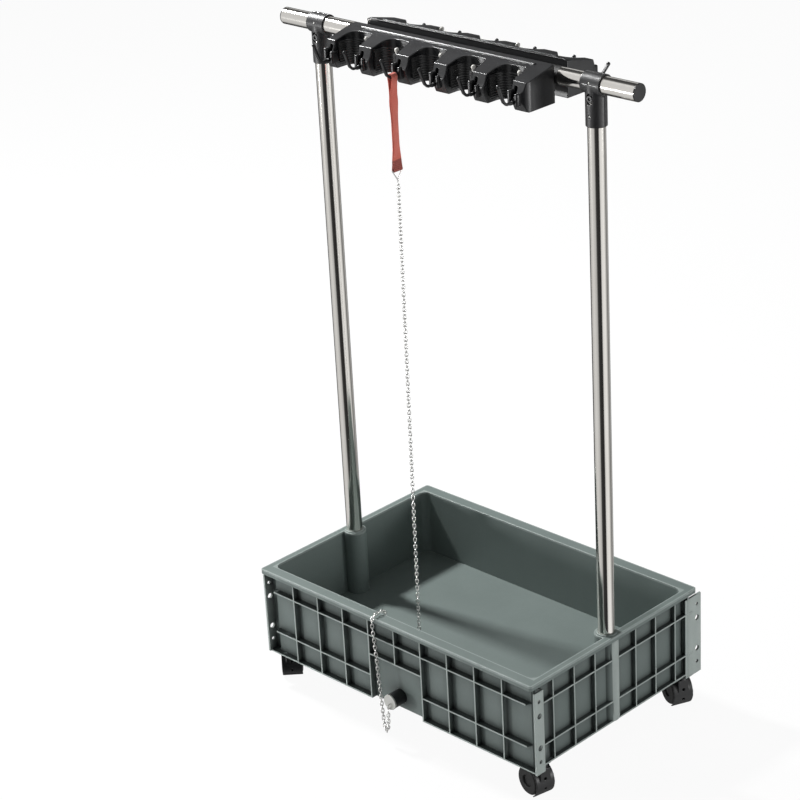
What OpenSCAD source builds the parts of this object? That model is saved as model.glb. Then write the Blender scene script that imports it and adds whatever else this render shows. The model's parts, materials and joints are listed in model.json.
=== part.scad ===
// Mop rack trolley: a ribbed drip tub on casters, two posts, a cross tube and two holder rails.
// Millimetres, +Z up, front at -Y. The origin is the middle of the footprint, on the floor.

/* [Tub] */
// Length of the tub over its rim
tub_l = 620; // [580:5:700]
// Width of the tub over its rim
tub_w = 415; // [390:5:470]
// Height of the tub from its lower edge to the top of the rim
tub_h = 165; // [150:5:200]
// Thickness of the tub's walls and ribs
wall_t = 3; // [2.5:0.5:4]
// Height of the floor's top above the tub's lower edge
floor_up = 45; // [43:1:56]
// Thickness of the floor
floor_t = 3.5; // [3:0.5:5]
// Height of the rim
rim_h = 9; // [7:1:13]
// Width of the rim on the long sides
rim_side = 21.5; // [19:0.5:25]
// Width of the rim on the short ends
rim_end = 13; // [11:0.5:16]
// Height of the upper rib ring above the lower edge
rib_high = 122; // [105:1:130]
// Height of the lower rib ring above the lower edge
rib_low = 45; // [30:1:60]
// Height of the short rib above the drain bay
rib_bay = 86; // [66:1:98]
// Spacing of the upright ribs on the long sides
rib_pitch_side = 60; // [50:1:75]
// Spacing of the upright ribs on the short ends
rib_pitch_end = 51; // [46:1:58]
// Height of the coupling strips at the corners
strip_h = 150; // [140:1:154]
// Width of the coupling strips
strip_w = 21; // [18:1:26]
// Thickness of the coupling strips
strip_t = 4; // [3:0.5:5]
// Radius of the two wide holes in a coupling strip
strip_hole_r = 4.75; // [3.5:0.25:6]
// Radius of the two narrow holes in a coupling strip
strip_pin_r = 3; // [2:0.25:4]

/* [Frame] */
// Diameter of the posts
post_d = 28; // [25:0.5:30]
// Wall thickness of the posts and the cross tube
tube_wall = 1.2; // [1:0.1:2]
// Diameter of the cross tube
tube_d = 28; // [25:0.5:30]
// Length of the cross tube over its caps
tube_l = 743; // [700:1:820]
// Height of the cross tube's axis above the floor
tube_z = 1142; // [900:1:1300]
// Distance of the post axes from the ends of the rim
post_inset = 21; // [20:0.5:24]
// Wall of the tub's post sockets
socket_wall = 5.8; // [4:0.1:8]
// Wall of the tee clamps
tee_wall = 2.45; // [2:0.05:4]
// Width of a tee clamp's ring along the cross tube
tee_ring_w = 37; // [30:1:45]
// Length of a tee clamp's stem below the tube axis
tee_drop = 64; // [56:1:75]

/* [Rails] */
// Length of a holder rail
rail_l = 419; // [415:1:440]
// Sideways place of the rails' middle
rail_x = 12.5; // [-20:0.5:20]
// Depth of a rail from its back to the deck's front lip
rail_d = 60.5; // [58:0.5:70]
// Height of the deck's back edge above the tube axis
deck_back = 21; // [18:0.5:24]
// Height of the deck's front lip above the tube axis
deck_front = 6.5; // [4:0.5:10]
// Depth of the rail below the tube axis
rail_drop = 39; // [37:0.5:44]
// Wall thickness of the moulded rails
rail_wall = 3; // [2.5:0.25:3.5]
// Spacing of the mop slots
slot_pitch = 80; // [79:0.5:82]
// Distance of a slot's left wall from the slot's middle
slot_left = 35; // [33:0.5:36]
// Slant of a slot's right wall
slot_slant = 11; // [8:0.5:13]
// Radius of the rubber grippers
grip_r = 6.5; // [5.5:0.25:7]
// Travel of a gripper along the slanted wall
grip_travel = 18; // [14:1:19]
// Width of a hook
hook_w = 5; // [4:0.25:6]
// Thickness of a hook
hook_t = 3.5; // [3:0.25:4]
// Radius of a hook's hinge pin
pin_r = 1.75; // [1.25:0.05:2]

/* [Drain] */
// Height of the spout's axis above the tub's lower edge
drain_z = 22; // [19:0.5:23]
// Outer radius of the spout
spout_r = 13; // [12:0.25:14]
// Bore radius of the spout
spout_bore = 10.1; // [9:0.1:10.5]
// Distance of the floor outlet from the front edge of the rim
drain_in = 57.5; // [52:0.5:70]
// Reach of the spout past the front edge of the rim
spout_out = 5.5; // [4:0.5:12]

/* [Casters] */
// Height of the tub's lower edge above the floor
ride_h = 60; // [58:1:70]
// Radius of the caster wheels
wheel_r = 25; // [22:0.5:26]
// Width of one caster wheel
wheel_w = 13; // [11:0.5:16]
// Distance from a swivel axis to its wheel axle
trail = 18; // [15:0.5:20]
// Radius of a caster stem
stem_r = 5.5; // [4.5:0.1:6]
// Distance of the swivel axes from the ends of the rim
caster_in_x = 18; // [17.5:0.5:24]
// Distance of the front swivel axes from the front edge of the rim
caster_in_front = 39.5; // [36:0.5:50]
// Distance of the rear swivel axes from the rear edge of the rim
caster_in_rear = 20; // [19.5:0.5:30]

/* [Hidden] */
$fn = 64;
eps = 0.01;
// Clearances: running fits, pieces that are bolted up, and pieces that pass each other
fit = 0.08;
seat = 0.05;
free = 0.3;

SLOTS = 5;
HOOKS = 6;
CORNERS = ["front_left", "front_right", "rear_left", "rear_right"];
SIDES = ["front", "rear"];
ENDS = ["left", "right"];

// Colours
tub_grey = [0.42, 0.46, 0.45];
moulded_black = [0.09, 0.09, 0.10];
rubber_black = [0.05, 0.05, 0.05];
steel = [0.80, 0.80, 0.78];
zinc = [0.62, 0.63, 0.64];
strap_red = [0.72, 0.20, 0.16];

// Tub planes
inner_l = tub_l - 2 * rim_end;
inner_w = tub_w - 2 * rim_side;
inner_r = 14;
rim_r = 5;
rim_past_rib_side = 8;
rim_past_rib_end = 2;
rib_x = tub_l / 2 - rim_past_rib_end;
rib_y = tub_w / 2 - rim_past_rib_side;
wall_x = inner_l / 2 + wall_t;
wall_y = inner_w / 2 + wall_t;
under_rim = tub_h - rim_h;
under_floor = floor_up - floor_t;
end_skirt_gap = 7;
bay_w = 2 * rib_pitch_side;
corner_relief_r = 22;
under_rib_h = 14;
under_rib_x = [-200, -100, 100, 200];
under_rib_y = [-60, 60];

// Coupling strips
front_strip_past = 2;
rear_strip_reach = 14.5;
rear_strip_lap = 27.5;
strip_hole_up = [106, 47.5];
strip_pin_up = [132, 22];
front_strip_y = -(rib_y + front_strip_past);
rear_strip_y = tub_w / 2 + rear_strip_reach;
strip_hole_in = strip_w / 2;
// The holes of the front left strip stand further out than those of the right one
left_hole_out = 1;
end_flange_w = -2 * (front_strip_y + strip_w);

// Posts and their sockets
post_x = tub_l / 2 - post_inset;
post_seat = 12;
socket_fit = 0.2;
socket_r = post_d / 2 + socket_fit + socket_wall;
collar_h = 2;
collar_wall = 3.4;
bolt_r = 3;
bolt_hole_gap = 0.2;
bolt_head_r = 5;
bolt_head_h = 4;
nut_across = 10;
nut_h = 5;
tee_r = max(tube_d, post_d) / 2 + seat + tee_wall;
tee_split = 0.8;
tee_neck = 13.5;
tee_bolt_z = -(tube_d / 2 + tee_neck / 2);
tee_seat_y = 12;
tee_oval_h = 8;
dimple_r = 2.2;
dimple_deep = 1.2;
dimple_up = 3;
dimple_down = 47;
post_top = tube_z - tube_d / 2 - tee_neck - seat;
cap_flange = 2;
cap_plug = 12;

// Rail planes, in a rail's own frame: x along the rail, -y outwards, z from the tube axis
back_y = -(tube_d / 2 + seat);
lip_y = back_y - rail_d;
nose_out = 8;
nose_y = lip_y - nose_out;
facet_z = -5.5;
facet_out = 4;
nose_top = -11.5;
nose_low = -20;
toe_in = 2;
toe_z = 3;
end_fall = 2.5;
end_slope_l = 8;
left_corner_r = 8;
right_corner_r = 16;
spine_d = 23;
slot_y = back_y - spine_d;
slot_corner_r = 18;
slot_tip_r = 5;
slot_tip_x = 6.5;
slot_shift = 3.5;
bead_r = 4;
bead_up = 1.8;
bead_in = 10;
bead_margin = 26;
rail_bolt_x = [-120, 0, 120];
rail_bolt_r = 2.5;
rail_head_r = 4.5;
rail_head_h = 3.5;
rail_nut_across = 8;
rail_nut_h = 4;

// Gripper guide, in the slanted wall's frame: x' out of the slot, -y' forwards along the wall
grip_gap = 0.4;
grip_off = grip_r + grip_gap;
grip_start = 3;
ledge_w = 14;
ledge_top = -26;
ledge_t = 4;
ledge_past = 8;
stud_r = 2.5;
stud_head_r = 4.8;
stud_head_h = 2.5;
sleeve_top = 2;
neck_r = 2.2;
ball_r = 3.8;
ball_z = 8.5;
slid_forward = [2, 4];

// Pads on the slots' left walls
pad_t = 3;
pad_ridge_r = 1.4;
pad_back = 20;
pad_front = 4;
pad_low = -28;
pad_high = 2;
pad_ridges = 5;
peg_r = 2;
peg_z = [-20, -6];

// Hooks: hinge and bends, in the rail's own y and z
hook_past_slot = 27;
end_hook_in = [12, 20];
hook_rest = [0, 30];
hook_at = concat(
    [-rail_l / 2 + end_hook_in[0]],
    [for (k = [1:SLOTS - 1]) slot_x(k) + hook_past_slot],
    [rail_l / 2 - end_hook_in[1]]
);
hinge_y = nose_y + 4;
hinge_z = -16;
hook_bends = [[-6, -5], [-10, -7], [-21, -7], [-27, -2], [-32, 9], [-37.5, 24]];
eye_r = pin_r + fit + 2.2;
hook_gap = 0.3;
hook_slot_deep = eye_r + 1;
hook_slot_low = -30;
hook_slot_high = 0;
pin_l = 9;
strap_hook = 3;

// Drain
outlet_y = -(tub_w / 2 - drain_in);
outlet_r = spout_bore + 0.5;
spout_end = -(tub_w / 2 + spout_out);
well_r = spout_r + 2;
gasket_t = 2;
strainer_flange_r = 17;
strainer_t = 2.5;
strainer_neck = 12;
strainer_wall = 2;
strainer_hole_r = 1.8;
strainer_ring_r = 5;
plug_l = 12;
disc_t = 3;
disc_past = 0.5;
disc_gap = 0.2;
staple_r = 4;
staple_wire = 1;
staple_drop = 7;
staple_out = 0.8;

// Casters
caster_x = tub_l / 2 - caster_in_x;
caster_rows = [caster_in_front - tub_w / 2, tub_w / 2 - caster_in_rear];
caster_yaw = [-134, -102, -110, -114];
web_w = 8;
wheel_gap = 1;
hood_t = 2.2;
hood_w = 2 * (wheel_w + wheel_gap) + web_w;
axle_r = 3;
hub_r = 9;
hub_deep = 3;
tread_round = 3;
hood_from = -55;
hood_to = 115;
swivel_r = 9;
neck_half = 9.5;
neck_drop = 6;
vent_r = 2.4;
vent_deep = 5;
vent_turns = [-16, 22];
stem_up = 30;
sleeve_wall = 2;
stem_boss_r = stem_r + seat + sleeve_wall + 3.5;
skirt_w = 2 * (-caster_rows[0] - stem_boss_r - 1);

// Strap, its ring and the chain
strap_w = 14;
strap_t = 1.6;
strap_loop_r = 4.2;
strap_neck_z = -52;
strap_layers = 0.6;
strap_end_z = -172;
strap_foot_z = -164;
ring_wire = 1;
ring_half = 11;
ring_drop = 17;
chain_r = 3.5;
chain_sides = 8;
chain_route = [
    [-37, -94, 951.5], [-37, -94, 900], [-37, -95, 800], [-36, -97, 700], [-36, -98, 600],
    [-36, -99, 500], [-35, -101, 400], [-35, -102, 300], [-34, -104, 200], [-34, -105, 140],
    [-34, -107, 125], [-34, -112, 115], [-34, -121, 110], [-34, -135, 110], [-34, -150, 110],
    [-34, -163, 111], [-34, -173, 116], [-34, -179, 127], [-34, -180, 145], [-34, -180, 175],
    [-34, -180, 200], [-34, -180, 215], [-34, -180.5, 221], [-34, -182, 226], [-34, -183.5, 228],
    [-34, -185.5, 229.5], [-34, -190, 231], [-35, -197, 231], [-35, -203.5, 231],
    [-34, -208, 229.5], [-34, -210, 228], [-34, -211.5, 226], [-34, -213, 221], [-33, -213.5, 215],
    [-30, -214, 190], [-27, -214, 160], [-24, -215, 130], [-20.5, -216, 100], [-18, -217, 75],
    [-15, -218, 52], [-12, -219, 36], [-9, -220, 28], [-5, -220, 28], [-2, -220, 36],
    [-1, -220, 48], [0, -220.5, 60], [0, -220.5, 69.5]
];

function unit(v) = v / norm(v);
function is_left(corner) = corner == "front_left" || corner == "rear_left";
function is_front(corner) = corner == "front_left" || corner == "front_right";
function slot_x(k) = (k - (SLOTS + 1) / 2) * slot_pitch + slot_shift;
function deck_z(y) = deck_back + (deck_front - deck_back) * (back_y - y) / rail_d;

// A rectangle with round corners, seen from above
module plan_box(l, w, r) {
    square([l - 2 * r, w], center = true);
    square([l, w - 2 * r], center = true);
    for (x = [-1, 1], y = [-1, 1])
        translate([x * (l / 2 - r), y * (w / 2 - r)]) circle(r);
}

// An outline drawn in y and z, made solid for the width w along x
module side_cut(w) {
    rotate([90, 0, 90]) linear_extrude(w, center = true) children();
}

// A cylinder along x, or along y, centred on its middle
module rod_x(r, l) {
    rotate([0, 90, 0]) cylinder(r = r, h = l, center = true);
}
module rod_y(r, l) {
    rotate([90, 0, 0]) cylinder(r = r, h = l, center = true);
}

// The outline of a bar of the width 2r that bends along a row of points
function turned(v) = [-v[1], v[0]];
function run_of(p, i) = unit(p[min(i + 1, len(p) - 1)] - p[min(i, len(p) - 2)]);
function bend_side(p, i, r) =
    let (a = turned(run_of(p, max(i - 1, 0))), b = turned(run_of(p, i)), m = unit(a + b))
        p[i] + r / (m * b) * m;
function bar_outline(p, r) = concat(
    [for (i = [0:len(p) - 1]) bend_side(p, i, r)],
    [for (i = [len(p) - 1:-1:0]) bend_side(p, i, -r)]
);

// Tub

module wall_plan() {
    plan_box(inner_l + 2 * wall_t, inner_w + 2 * wall_t, inner_r + wall_t);
}

module inner_plan() {
    plan_box(inner_l, inner_w, inner_r);
}

module front_reliefs() {
    for (x = [-1, 1])
        translate([x * (rib_x + strip_t), front_strip_y]) circle(corner_relief_r);
}

module rib_ring_plan() {
    difference() {
        square([2 * rib_x, 2 * rib_y], center = true);
        inner_plan();
    }
}

module upright_plan() {
    side_steps = floor((tub_l / 2 - 50) / rib_pitch_side);
    end_steps = floor((tub_w / 2 - 50) / rib_pitch_end);
    difference() {
        union() {
            for (i = [-side_steps:side_steps])
                translate([i * rib_pitch_side, 0])
                    square([wall_t, 2 * rib_y], center = true);
            for (i = [-end_steps:end_steps])
                translate([0, i * rib_pitch_end])
                    square([2 * rib_x, wall_t], center = true);
            for (y = [-1, 1])
                translate([0, y * (inner_w / 2 + wall_t / 2)])
                    square([2 * rib_x, wall_t], center = true);
        }
        inner_plan();
        front_reliefs();
    }
}

module tub_ribs() {
    difference() {
        union() {
            linear_extrude(under_rim + eps) upright_plan();
            linear_extrude(wall_t) rib_ring_plan();
            for (z = [rib_low, rib_high])
                translate([0, 0, z - wall_t / 2]) linear_extrude(wall_t) difference() {
                    rib_ring_plan();
                    front_reliefs();
                }
        }
        translate([-bay_w / 2 + wall_t / 2, -tub_w / 2, -eps])
            cube([bay_w - wall_t, tub_w / 2 - inner_w / 2 - wall_t / 2, rib_bay]);
    }
    translate([-bay_w / 2, -rib_y, rib_bay - wall_t / 2])
        cube([bay_w, rib_y - inner_w / 2 - wall_t / 2, wall_t]);
}

// The ends stop a little above the lower edge, in a flange
module end_flanges() {
    for (x = [-1, 1]) scale_x(x)
        translate([wall_x - wall_t / 2, -end_flange_w / 2, end_skirt_gap])
            cube([rib_x - wall_x + wall_t / 2, end_flange_w, wall_t]);
}

module coupling_strips() {
    lap = 2 * inner_r;
    linear_extrude(strip_h) difference() {
        for (x = [-1, 1]) scale_x(x) {
            translate([rib_x, front_strip_y]) square([strip_t, strip_w]);
            translate([rib_x + strip_t - lap, front_strip_y + strip_w - wall_t]) square([lap, wall_t]);
            translate([rib_x - strip_t - free, tub_w / 2 - rear_strip_lap])
                square([strip_t, rear_strip_lap + rear_strip_reach]);
        }
        inner_plan();
    }
}

// Mirrors its children to the left where side is -1
module scale_x(side) {
    if (side < 0) mirror([1, 0, 0]) children();
    else children();
}

module strip_holes() {
    rows = [
        [-1, front_strip_y + strip_hole_in - left_hole_out], [1, front_strip_y + strip_hole_in],
        [-1, rear_strip_y - strip_hole_in], [1, rear_strip_y - strip_hole_in]
    ];
    for (row = rows) translate([row[0] * rib_x, row[1], 0]) {
        for (z = strip_hole_up) translate([0, 0, z]) rod_x(strip_hole_r, 4 * strip_t);
        for (z = strip_pin_up) translate([0, 0, z]) rod_x(strip_pin_r, 4 * strip_t);
    }
}

module under_ribs() {
    translate([0, 0, under_floor - under_rib_h]) linear_extrude(under_rib_h + eps) {
        for (x = under_rib_x) translate([x, 0]) square([wall_t, inner_w + wall_t], center = true);
        for (y = under_rib_y) translate([0, y]) square([inner_l + wall_t, wall_t], center = true);
    }
}

module tub() {
    color(tub_grey) translate([0, 0, ride_h]) difference() {
        union() {
            difference() {
                linear_extrude(under_rim + eps) wall_plan();
                translate([0, 0, -eps]) linear_extrude(tub_h) inner_plan();
            }
            translate([0, 0, under_rim]) linear_extrude(rim_h) difference() {
                plan_box(tub_l, tub_w, rim_r);
                inner_plan();
            }
            translate([0, 0, under_floor]) linear_extrude(floor_t) wall_plan();
            tub_ribs();
            coupling_strips();
            end_flanges();
            under_ribs();
            for (x = [-1, 1]) translate([x * post_x, 0, 0]) {
                cylinder(r = socket_r, h = tub_h);
                cylinder(r = post_d / 2 + socket_fit + collar_wall, h = tub_h + collar_h);
            }
            for (x = [-1, 1], y = caster_rows)
                translate([x * caster_x, y, 0]) cylinder(r = stem_boss_r, h = under_floor + eps);
        }
        for (x = [-1, 1]) {
            translate([x * post_x, 0, post_seat])
                cylinder(r = post_d / 2 + socket_fit, h = tub_h);
            translate([x * (wall_x + rib_x) / 2, 0, 0])
                cube([3 * (rib_x - inner_l / 2), skirt_w, 2 * end_skirt_gap], center = true);
            translate([x * (rib_x + wall_t), 0, 0])
                cube([2 * (rib_x - wall_x + wall_t / 2), end_flange_w, 2 * end_skirt_gap], center = true);
        }
        for (x = [-1, 1], y = caster_rows)
            translate([x * caster_x, y, -eps])
                cylinder(r = stem_r + 2 * seat + sleeve_wall, h = stem_up + 2);
        strip_holes();
        translate([0, outlet_y, under_floor - eps])
            cylinder(r = outlet_r + free, h = floor_t + 1);
        translate([0, -wall_y, drain_z]) rod_y(spout_r + free, 4 * wall_t);
    }
}

// Drain

module drain_elbow() {
    well_top = under_floor - gasket_t;
    reach = outlet_y - spout_end;
    color(moulded_black) translate([0, outlet_y, ride_h]) difference() {
        union() {
            translate([0, 0, drain_z - well_r]) cylinder(r = well_r, h = well_top - drain_z + well_r);
            translate([0, -reach / 2, drain_z]) rod_y(spout_r, reach);
        }
        translate([0, 0, drain_z - outlet_r]) cylinder(r = outlet_r, h = well_top);
        translate([0, -reach / 2 - eps, drain_z]) rod_y(spout_bore, reach);
    }
}

module drain_gasket() {
    color(rubber_black) translate([0, outlet_y, ride_h + under_floor - gasket_t]) difference() {
        cylinder(r = well_r, h = gasket_t);
        translate([0, 0, -eps]) cylinder(r = outlet_r + free, h = gasket_t + 1);
    }
}

module drain_strainer() {
    color(zinc) translate([0, outlet_y, ride_h + floor_up]) difference() {
        union() {
            cylinder(r = strainer_flange_r, h = strainer_t);
            translate([0, 0, -strainer_neck]) cylinder(r = outlet_r - seat, h = strainer_neck + eps);
        }
        translate([0, 0, -strainer_neck - eps])
            cylinder(r = outlet_r - strainer_wall, h = strainer_neck);
        for (a = [0:60:300])
            rotate(a) translate([strainer_ring_r, 0, -1]) cylinder(r = strainer_hole_r, h = 5);
        translate([0, 0, -1]) cylinder(r = strainer_hole_r, h = 5);
    }
}

module stopper() {
    disc_y = spout_end - disc_gap;
    color(zinc) translate([0, 0, ride_h + drain_z]) {
        translate([0, disc_y - disc_t / 2, 0]) rod_y(spout_r + disc_past, disc_t);
        translate([0, disc_y + plug_l / 2 - eps, 0]) rod_y(spout_bore - fit, plug_l);
        translate([0, disc_y - disc_t - staple_out, -staple_drop]) rotate([0, 90, 0])
            rotate_extrude() translate([staple_r, 0]) circle(staple_wire);
    }
}

// Frame

module post(end) {
    color(steel) translate([end * post_x, 0, ride_h + post_seat]) difference() {
        cylinder(r = post_d / 2, h = post_top - ride_h - post_seat);
        translate([0, 0, -eps]) cylinder(r = post_d / 2 - tube_wall, h = tube_z);
    }
}

module cross_tube() {
    color(steel) translate([0, 0, tube_z]) difference() {
        rod_x(tube_d / 2, tube_l - 2 * cap_flange);
        rod_x(tube_d / 2 - tube_wall, tube_l);
        for (x = rail_bolt_x)
            translate([rail_x + x, 0, 0]) rod_y(rail_bolt_r + bolt_hole_gap, 2 * tube_d);
    }
}

module end_cap(end) {
    color(moulded_black) translate([end * tube_l / 2, 0, tube_z]) scale_x(end) {
        translate([-cap_flange / 2, 0, 0]) rod_x(tube_d / 2, cap_flange);
        translate([-cap_flange - cap_plug / 2 + eps, 0, 0])
            rod_x(tube_d / 2 - tube_wall - seat, cap_plug);
    }
}

// One half of a tee clamp, with its bolt seat; side is -1 in front and 1 behind
module tee_half(side) {
    difference() {
        union() {
            rod_x(tee_r, tee_ring_w);
            translate([0, 0, -tee_drop]) cylinder(r = tee_r, h = tee_drop);
        }
        translate([0, -side * (2 * tee_r - tee_split / 2), -tee_drop / 2])
            cube([2 * tee_ring_w, 4 * tee_r, 4 * tee_drop], center = true);
        rod_x(tube_d / 2 + seat, 2 * tee_ring_w);
        translate([0, 0, -tee_drop - eps])
            cylinder(r = post_d / 2 + seat, h = tee_drop - tube_d / 2 - tee_neck);
        translate([0, 0, tee_bolt_z]) rod_y(bolt_r + bolt_hole_gap, 4 * tee_r);
        translate([0, side * (tee_seat_y + tee_r), tee_bolt_z]) {
            if (side < 0)
                for (z = [-1, 0, 1])
                    translate([0, 0, z * (tee_oval_h - bolt_head_r)])
                        rod_y(bolt_head_r + free, 2 * tee_r);
            else
                rotate([90, 0, 0])
                    cylinder(r = (nut_across / 2 + free) / cos(30), h = 2 * tee_r, center = true, $fn = 6);
        }
        for (z = [dimple_up, -dimple_down])
            translate([0, side * tee_r, z]) rod_y(dimple_r, 2 * dimple_deep);
    }
}

module tee(corner) {
    color(moulded_black) translate([is_left(corner) ? -post_x : post_x, 0, tube_z])
        tee_half(is_front(corner) ? -1 : 1);
}

module tee_bolts() {
    color(zinc) for (x = [-1, 1]) translate([x * post_x, 0, tube_z + tee_bolt_z]) difference() {
        union() {
            translate([0, -tee_seat_y - bolt_head_h / 2, 0]) rod_y(bolt_head_r, bolt_head_h);
            translate([0, nut_h / 2, 0]) rod_y(bolt_r, 2 * tee_seat_y + nut_h + eps);
        }
        translate([0, -tee_seat_y - bolt_head_h, 0]) rotate([90, 0, 0])
            cylinder(r = bolt_r, h = bolt_head_h, center = true, $fn = 6);
    }
}

module tee_nuts() {
    color(zinc) for (x = [-1, 1])
        translate([x * post_x, tee_seat_y + nut_h / 2, tube_z + tee_bolt_z]) difference() {
            rotate([90, 0, 0])
                cylinder(r = nut_across / 2 / cos(30), h = nut_h, center = true, $fn = 6);
            rod_y(bolt_r + seat, 2 * nut_h);
        }
}

// Rails

// Puts a rail's own frame on the front or the rear of the cross tube
module on_tube(side) {
    translate([rail_x, 0, tube_z]) rotate(side == "front" ? 0 : 180) children();
}

function slant_out(slant) = [cos(slant), sin(slant)];
function slant_start() = [slot_tip_x, slot_y - slot_tip_r] + slot_tip_r * slant_out(slot_slant);

// A mop slot seen from above, let out by the margin grow
module slot_plan(grow) {
    tip = [slot_tip_x, slot_y - slot_tip_r];
    corner = [-slot_left + slot_corner_r, slot_y - slot_corner_r];
    tangent = tip + (slot_tip_r + grow) * slant_out(slot_slant);
    front = nose_y - 5;
    polygon([
        [-slot_left - grow, front],
        [-slot_left - grow, corner[1]],
        [corner[0], slot_y + grow],
        [tip[0], slot_y + grow],
        tangent,
        [tangent[0] + (tangent[1] - front) * tan(slot_slant), front]
    ]);
    translate(corner) circle(slot_corner_r + grow);
    translate(tip) circle(slot_tip_r + grow);
}

module all_slots(grow) {
    for (k = [1:SLOTS]) translate([slot_x(k), 0]) slot_plan(grow);
}

// The frame of a slot's slanted wall: x' points into the wall, -y' forwards along it
module on_slant(k) {
    start = slant_start();
    translate([slot_x(k) + start[0], start[1], 0]) rotate(slot_slant) children();
}

module rail_side() {
    polygon([
        [back_y, deck_back], [lip_y, deck_front], [lip_y - facet_out, facet_z],
        [nose_y, nose_top], [nose_y, nose_low], [lip_y, -rail_drop + toe_z],
        [lip_y + toe_in, -rail_drop], [back_y, -rail_drop]
    ]);
}

module rail_front_view() {
    polygon([
        [-rail_l / 2, -rail_drop - 1], [rail_l / 2, -rail_drop - 1],
        [rail_l / 2, deck_back - end_fall], [rail_l / 2 - end_slope_l, deck_back + 1],
        [-rail_l / 2 + end_slope_l, deck_back + 1], [-rail_l / 2, deck_back - end_fall]
    ]);
}

module rail_plan() {
    radii = [left_corner_r, right_corner_r];
    for (i = [0, 1]) scale_x(2 * i - 1) {
        translate([-eps, nose_y + radii[i]]) square([rail_l / 2 + eps, back_y - nose_y - radii[i]]);
        translate([-eps, nose_y]) square([rail_l / 2 - radii[i] + eps, back_y - nose_y]);
        translate([rail_l / 2 - radii[i], nose_y + radii[i]]) circle(radii[i]);
    }
}

module rail_hollow() {
    inner_front = lip_y + 2 * rail_wall;
    inner_back = back_y - rail_wall;
    difference() {
        side_cut(rail_l - 2 * rail_wall) polygon([
            [inner_back, -rail_drop - 1], [inner_back, deck_z(inner_back) - rail_wall - end_fall],
            [inner_back - spine_d / 3, deck_z(inner_back) - rail_wall - end_fall / 2],
            [inner_front, deck_z(inner_front) - rail_wall], [inner_front, -rail_drop - 1]
        ]);
        translate([0, 0, -rail_drop - 2]) linear_extrude(2 * rail_drop + deck_back)
            all_slots(rail_wall);
    }
}

module ledge_plan() {
    translate([-ledge_w, -grip_start - grip_travel - ledge_past])
        square([ledge_w + rail_wall / 2, grip_start + grip_travel + ledge_past + rail_wall]);
}

module guide_plan() {
    translate([-grip_off, -grip_start]) circle(stud_r + free);
    translate([-grip_off, -grip_start - grip_travel]) circle(stud_r + free);
    translate([-grip_off - stud_r - free, -grip_start - grip_travel])
        square([2 * (stud_r + free), grip_travel]);
}

module rail_blank() {
    intersection() {
        side_cut(rail_l) rail_side();
        translate([0, 0, -rail_drop - 1]) linear_extrude(2 * rail_drop + deck_back) rail_plan();
        rotate([90, 0, 0]) linear_extrude(4 * rail_d, center = true) rail_front_view();
    }
    bead_y = back_y - bead_in;
    bead_l = rail_l - 2 * bead_margin - 2 * bead_r;
    translate([0, bead_y, deck_z(bead_y) + bead_up - bead_r]) {
        rod_x(bead_r, bead_l);
        for (x = [-1, 1]) translate([x * bead_l / 2, 0, 0]) sphere(bead_r);
    }
}

module rail(side) {
    color(moulded_black) on_tube(side) difference() {
        union() {
            difference() {
                rail_blank();
                rail_hollow();
                translate([0, 0, -rail_drop - 2]) linear_extrude(2 * rail_drop + 2 * deck_back)
                    all_slots(0);
            }
            for (k = [1:SLOTS]) translate([0, 0, ledge_top - ledge_t]) on_slant(k)
                linear_extrude(ledge_t) ledge_plan();
        }
        for (k = [1:SLOTS]) {
            translate([0, 0, ledge_top - ledge_t - 1]) on_slant(k)
                linear_extrude(ledge_t + 2) guide_plan();
            for (z = peg_z)
                translate([slot_x(k) - slot_left, pad_mid_y(), z]) rod_x(peg_r + seat, 4 * rail_wall);
        }
        for (x = hook_at) {
            translate([x - hook_w / 2 - hook_gap, nose_y - 1, hook_slot_low])
                cube([hook_w + 2 * hook_gap, hinge_y - nose_y + hook_slot_deep + 1,
                      hook_slot_high - hook_slot_low]);
            translate([x, hinge_y, hinge_z]) rod_x(pin_r + seat, pin_l + 2 * seat);
        }
        for (x = rail_bolt_x)
            translate([x, back_y, 0]) rod_y(rail_bolt_r + bolt_hole_gap, 4 * rail_wall);
    }
}

module rail_bolts() {
    head_y = back_y - rail_wall;
    far_y = -head_y + rail_nut_h + 1;
    color(zinc) for (x = rail_bolt_x) translate([rail_x + x, 0, tube_z]) difference() {
        union() {
            translate([0, head_y - rail_head_h / 2, 0]) rod_y(rail_head_r, rail_head_h);
            translate([0, (head_y + far_y) / 2 - eps, 0]) rod_y(rail_bolt_r, far_y - head_y);
        }
        translate([0, head_y - rail_head_h, 0]) rotate([90, 0, 0])
            cylinder(r = rail_bolt_r, h = rail_head_h, center = true, $fn = 6);
    }
}

module rail_nuts() {
    nut_y = -back_y + rail_wall + rail_nut_h / 2;
    color(zinc) for (x = rail_bolt_x) translate([rail_x + x, nut_y, tube_z]) difference() {
        rotate([90, 0, 0])
            cylinder(r = rail_nut_across / 2 / cos(30), h = rail_nut_h, center = true, $fn = 6);
        rod_y(rail_bolt_r + seat, 2 * rail_nut_h);
    }
}

function pad_back_y() = slot_y - pad_back;
function pad_front_y() = lip_y + pad_front;
function pad_mid_y() = (pad_back_y() + pad_front_y()) / 2;

module grip_pads(side) {
    pad_l = pad_back_y() - pad_front_y();
    ridge_step = pad_l / pad_ridges;
    color(rubber_black) on_tube(side) for (k = [1:SLOTS]) translate([slot_x(k) - slot_left, 0, 0]) {
        translate([0, pad_front_y(), pad_low]) cube([pad_t, pad_l, pad_high - pad_low]);
        for (i = [0:pad_ridges - 1])
            translate([pad_t, pad_front_y() + (i + 0.5) * ridge_step, pad_low])
                cylinder(r = pad_ridge_r, h = pad_high - pad_low);
        for (z = peg_z)
            translate([-rail_wall / 2, pad_mid_y(), z]) rod_x(peg_r, rail_wall + 2);
    }
}

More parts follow.
